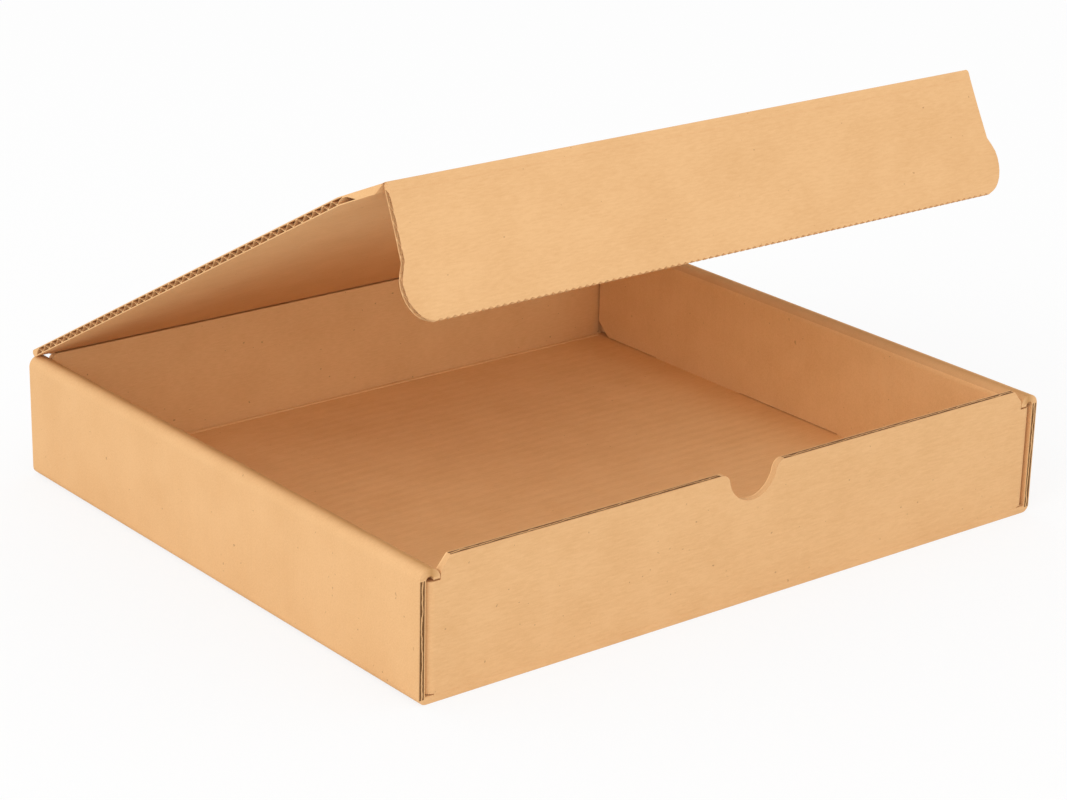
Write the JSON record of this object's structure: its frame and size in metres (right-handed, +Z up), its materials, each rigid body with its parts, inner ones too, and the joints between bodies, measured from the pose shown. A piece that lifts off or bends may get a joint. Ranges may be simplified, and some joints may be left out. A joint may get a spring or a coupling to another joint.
{
  "type": "corrugated mailing box",
  "caption": "Open roll-end mailing box of plain brown corrugated board, with a hinged lid and a tuck-in front flap.",
  "frame": {"origin": "middle of the box's footprint, on the ground", "axes": "+X along the front wall, +Y from the front wall to the back wall with the lid hinge, +Z up"},
  "size_m": [0.324, 0.282, 0.187],
  "materials": {
    "kraft_board": "matte"
  },
  "bodies": {
    "tray": {"tray": "kraft_board"},
    "lid": {"lid": "kraft_board"},
    "tuck_flap": {"tuck_flap": "kraft_board"}
  },
  "joints": [
    {"name": "lid_hinge", "type": "hinge", "parent": "tray", "child": "lid", "pos_m": [0, 0.1395, 0.0555], "axis": [-1, 0, 0], "range_deg": [-28.5, 150]},
    {"name": "tuck_fold", "type": "hinge", "parent": "lid", "child": "tuck_flap", "pos_m": [0, -0.09998, 0.18553], "axis": [-1, 0, 0], "range_deg": [-30, 6]}
  ]
}
